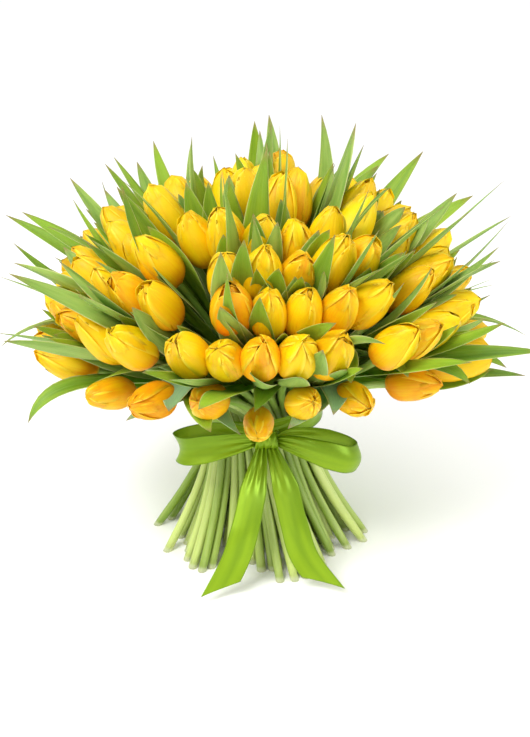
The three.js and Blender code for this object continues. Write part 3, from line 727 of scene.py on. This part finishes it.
# The darker and lighter streaks on the crease noise are painted shade and painted sheen; the same noise also
# gives the creases their bump.
lime_with_painted_shade = satin.mix(crease_bumps_and_shade.step(0.3, 0.75), (0.15, 0.27, 0.003), (0.22, 0.36, 0.005))
lime_with_painted_shade = satin.mix(weft * slub * 0.08, lime_with_painted_shade, (0.36, 0.52, 0.03))
selvedge = satin.from_middle(across_ribbon / ribbon_width).step(0.91, 0.95)
satin.set(Base_Color=satin.mix(selvedge * 0.35, lime_with_painted_shade, (0.09, 0.18, 0.003)), Roughness=0.3 + slub * 0.04)
satin.bump(weft * 0.1 + crease_bumps_and_shade * 2.0 + selvedge, 0.0002, 0.4)


def ribbon_piece(name, middle, face, length):
    """Satin laid over a grid: middle is its mid-surface, face the way that it looks, length its own."""
    rows, columns = middle.shape[:2]
    points = np.stack([middle + face * ribbon_thickness / 2, middle - face * ribbon_thickness / 2])
    across, along = np.meshgrid(np.linspace(0, ribbon_width, columns), np.linspace(0, length, rows))
    uv = np.broadcast_to(np.stack([across, along], -1), points.shape[:-1] + (2,))
    luck = np.full(points.shape[:-1], 0.37)
    piece = make_piece(name, points, blade_faces(rows, columns), satin, uv, {"luck": luck})
    return piece


def surface_normals(grid):
    """Unit normals of a grid surface, from its differences along rows and columns."""
    return unit(np.cross(np.gradient(grid, axis=0), np.gradient(grid, axis=1)))


band_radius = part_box("ribbon_band")[1][0] - 2.6 * MM
turns = 1.96
s, w = np.meshgrid(np.linspace(0, 1, 220), np.linspace(-1, 1, 15), indexing="ij")
angle = np.pi / 2 + 2 * np.pi * turns * s
crumple = 0.7 * MM * np.sin(5 * angle + 3 * w) + 0.5 * MM * np.sin(13 * angle - 5 * w + 1)
near_knot = 0.35 + 0.65 * np.exp(-(((np.sin(angle) + 1) / 0.25) ** 2))
pleats = 0.8 * MM * np.sin(9 * w + 1.5 * np.sin(2 * angle)) * near_knot
radius = band_radius - 2.4 * MM * (1 - w * w) + 1.1 * MM * s + crumple * 0.4 + pleats
height = neck[2] + 0.46 * ribbon_width * w + 7 * MM * np.cos(angle) + (2 * s - 1) * 1.6 * MM
band = np.stack([radius * np.cos(angle), radius * np.sin(angle), height], -1)
wound = 2 * np.pi * turns * band_radius
band_piece = ribbon_piece("satin_band", band, surface_normals(band), wound)
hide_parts("ribbon_band")

knot_low, knot_high = (np.array(corner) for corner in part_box("ribbon_knot"))
knot_middle = (knot_low + knot_high) / 2
knot_size = (knot_high - knot_low) * (0.86, 0.9, 0.68)
s, w = np.meshgrid(np.linspace(0, 1, 64), np.linspace(-1, 1, 33), indexing="ij")
around = 2 * np.pi * 1.04 * s + np.pi / 2
waist = 0.86 + 0.14 * np.abs(w) ** 1.5 + 0.05 * s
fold = 1 + 0.07 * np.sin(13 * w + 1.3 * np.sin(2 * around)) + 0.04 * np.sin(23 * w - around)
knot = np.stack(
    [
        knot_middle[0] + knot_size[0] * 0.5 * w * (1 + 0.07 * np.sin(2 * around)),
        knot_middle[1] + knot_size[1] * 0.5 * waist * np.cos(around) * fold,
        knot_middle[2] + knot_size[2] * 0.5 * waist * np.sin(around) * fold,
    ],
    -1,
)
wound = np.pi * (knot_size[1] + knot_size[2]) / 2 * 1.04
knot_piece = ribbon_piece("satin_knot", knot, surface_normals(knot), wound)
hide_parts("ribbon_knot")


def smooth_line(stations, places, t):
    """Points at t on a smooth line through a few places: cubic Hermite pieces that run over the stations."""
    places, stations = np.array(places, float), np.array(stations, float)
    slope = np.gradient(places, stations, axis=0)
    k = np.clip(np.searchsorted(stations, t, side="right") - 1, 0, len(stations) - 2)
    gap = (stations[k + 1] - stations[k])[..., None]
    f = (t - stations[k])[..., None] / gap
    leaving = (2 * f**3 - 3 * f**2 + 1) * places[k] + (f**3 - 2 * f**2 + f) * gap * slope[k]
    return leaving + (3 * f**2 - 2 * f**3) * places[k + 1] + (f**3 - f**2) * gap * slope[k + 1]


def laid_ribbon(stations, places, t, w, lift, gather, depth):
    """The mid-surface of a ribbon on a smooth line, and its length.

    t is the place along it and w the place across, from -1 to 1. lift is the way that its width stands,
    gather its share of the full width, and depth how far each point stands off the flat.
    """
    line, nudge = smooth_line(stations, places, t), 1e-3
    before, after = (smooth_line(stations, places, np.clip(t + step, 0, 1)) for step in (-nudge, nudge))
    ahead = unit(after - before)
    across = unit(lift - ahead * (ahead * lift).sum(-1, keepdims=True))
    surface = line + (0.5 * ribbon_width * w * gather)[..., None] * across
    surface = surface + depth[..., None] * np.cross(ahead, across)
    return surface, np.linalg.norm(np.diff(line[:, line.shape[1] // 2], axis=0), axis=1).sum()


# The loops: the ribbon leaves the knot gathered, opens to its full width, turns over and comes home behind.
s, w = np.meshgrid(np.linspace(0, 1, 90), np.linspace(-1, 1, 17), indexing="ij")
for name, side in (("left", -1), ("right", 1)):
    low, high = (np.array(corner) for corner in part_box("ribbon_loop_" + name))
    root = knot_middle + np.array([side * (knot_size[0] / 2 - 1 * MM), 0, 0])
    span = (high[0] - low[0]) * 1.06
    sag = -11 * MM if side > 0 else -1 * MM
    outline = (  # out along the loop, forward and up, the last two in mm
        (0, 3, 0),
        (0.22, 13, 3),
        (0.55, 21, 2),
        (0.86, 17, -3),
        (1.0, 2, -5),
        (0.86, -9, -4),
        (0.52, -9, 1),
        (0.2, -5, 3),
        (0, -3, 0),
    )
    places = [root + (side * span * a, -b * MM, c * MM + sag * a) for a, b, c in outline]
    open_share = np.clip(np.sin(np.pi * s) * 1.3, 0, 1) ** 0.75
    lift = np.array([0.05 * side, 0.16, 1.0])
    folds = (1 - open_share) * 1.7 * MM * np.sin(10 * w + 0.7 + 2 * s)
    belly = (1.8 * MM * np.sin(2.2 * w + 4 * s) + 2.2 * MM * (1 - w * w)) * np.sin(np.pi * s)
    gather = 0.3 + 0.74 * open_share
    surface, length = laid_ribbon(np.linspace(0, 1, len(outline)), places, s, w, lift, gather, folds + belly)
    loop = ribbon_piece("satin_loop_" + name, surface, surface_normals(surface), length)
    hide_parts("ribbon_loop_" + name)

# The tails hang from under the knot, turn a little as they fall and stand on their slanting cut ends.
slant_share = 0.17
for name, side in (("left", -1), ("right", 1)):
    low, high = (np.array(corner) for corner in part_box("ribbon_tail_" + name))
    root = knot_middle + np.array([side * 4.5 * MM, -2 * MM, -knot_size[2] / 2 + 3 * MM])
    foot_x = low[0] + 0.92 * ribbon_width if side < 0 else high[0] - 0.7 * ribbon_width
    end = np.array([foot_x, low[1] + 2 * MM, 1.5 * MM])
    if side < 0:
        sway = ((0, 0), (3, -7), (8, -7), (8, 1), (0, 0))
    else:
        sway = ((0, 0), (-1, -7), (-9, -5), (-13, 2), (0, 0))
    stations = (0, 0.2, 0.5, 0.78, 1)
    places = [root + (end - root) * a + (x * MM, y * MM, 0) for a, (x, y) in zip(stations, sway)]
    t = s * (1 - slant_share * (1 - side * w) / 2)
    gather = 0.34 + 0.7 * np.clip(t / 0.26, 0, 1) ** 0.8
    turn = np.radians(side * (22 * np.sin(3.6 * t + 0.4) - 6))
    lift = np.stack([np.cos(turn), np.sin(turn), 0 * turn], -1)
    folds = np.clip(1 - t / 0.3, 0, 1) * 1.6 * MM * np.sin(9 * w + 0.4 + 2 * t)
    cup = (1.6 * MM * np.sin(1.6 * w + 5 * t + side) + 1.2 * MM * w * w) * np.sin(np.pi * t)
    surface, length = laid_ribbon(stations, places, t, w, lift, gather, folds + cup)
    surface[..., 2] = np.maximum(surface[..., 2], 0.4 * MM)
    tail = ribbon_piece("satin_tail_" + name, surface, surface_normals(surface), length)
    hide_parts("ribbon_tail_" + name)


# ---------- floor, light and camera ----------
# A plain pale floor, a pale surround, one large soft lamp over the front and a weaker one at the side.
floor_finish = Finish("pale floor", Roughness=0.9)
floor_finish.set(Base_Color=(0.985, 0.985, 0.98, 1.0))
floor_mesh = bpy.data.meshes.new("floor")
floor_mesh.from_pydata([(-40, -40, 0), (40, -40, 0), (40, 40, 0), (-40, 40, 0)], [], [(0, 1, 2, 3)])
floor_mesh.materials.append(floor_finish.material)
floor = bpy.data.objects.new("floor", floor_mesh)
bpy.context.collection.objects.link(floor)

world = bpy.data.worlds.new("surround")
bpy.context.scene.world = world
world.use_nodes = True
world.node_tree.nodes["Background"].inputs["Color"].default_value = (1.0, 1.0, 1.0, 1.0)
world.node_tree.nodes["Background"].inputs["Strength"].default_value = 1.03


def softbox(name, place, aim, size, power):
    """A square lamp at a place, turned to face a point."""
    lamp = bpy.data.lights.new(name, "AREA")
    lamp.size, lamp.energy = size, power
    holder = bpy.data.objects.new(name, lamp)
    bpy.context.collection.objects.link(holder)
    holder.location = place
    away = Vector(place) - Vector(aim)
    holder.rotation_euler = away.to_track_quat("Z", "Y").to_euler()


softbox("front_lamp", (-0.7, -1.0, 1.5), (0, 0, 0.2), 0.7, 25)
softbox("side_lamp", (1.4, -0.7, 0.8), (0, 0, 0.2), 0.7, 8)

camera_distance, camera_elevation, camera_aim = 1.1, np.radians(22.5), np.array([0.0035, 0, 0.182])
camera = bpy.data.objects.new("camera", bpy.data.cameras.new("camera"))
bpy.context.collection.objects.link(camera)
camera.data.lens, camera.data.sensor_width = 53.3, 36
away = np.array([0, -np.cos(camera_elevation), np.sin(camera_elevation)])
camera.location = camera_aim + camera_distance * away
camera.rotation_euler = (np.pi / 2 - camera_elevation, 0, 0)
bpy.context.scene.camera = camera
bpy.context.scene.view_settings.view_transform = "Standard"
